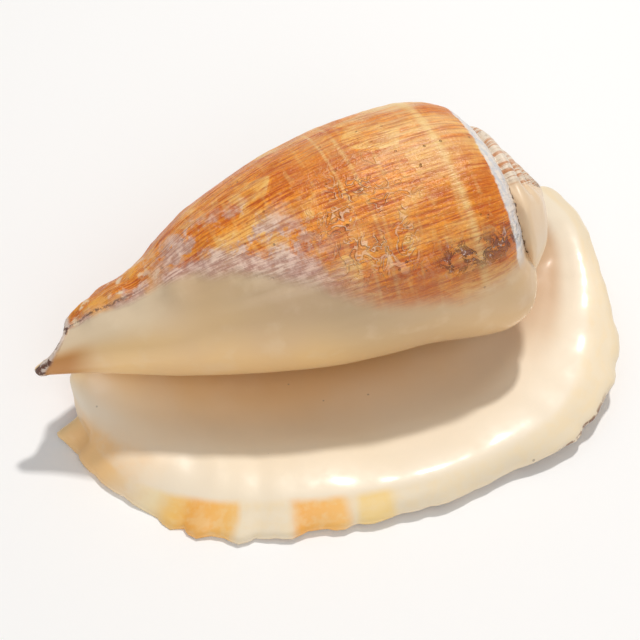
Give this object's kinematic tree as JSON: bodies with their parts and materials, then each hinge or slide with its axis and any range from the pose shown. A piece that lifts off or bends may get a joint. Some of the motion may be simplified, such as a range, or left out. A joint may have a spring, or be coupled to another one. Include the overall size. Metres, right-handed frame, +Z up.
{
  "type": "conch shell",
  "caption": "Large flared-lip conch shell, one grown piece, lying on its back with the opening up: tapering beak, broad last whorl, low spire and a wide wavy lip.",
  "frame": {"origin": "middle of the shell's bounding box, on the surface it rests on", "axes": "+X along the shell's axis from the beak to the spire, +Z up from the surface, -Y towards the flared lip"},
  "size_m": [0.2158, 0.1276, 0.0939],
  "materials": {
    "shell": "glossy"
  },
  "bodies": {
    "root": {"conch_shell": "shell"}
  },
  "joints": []
}
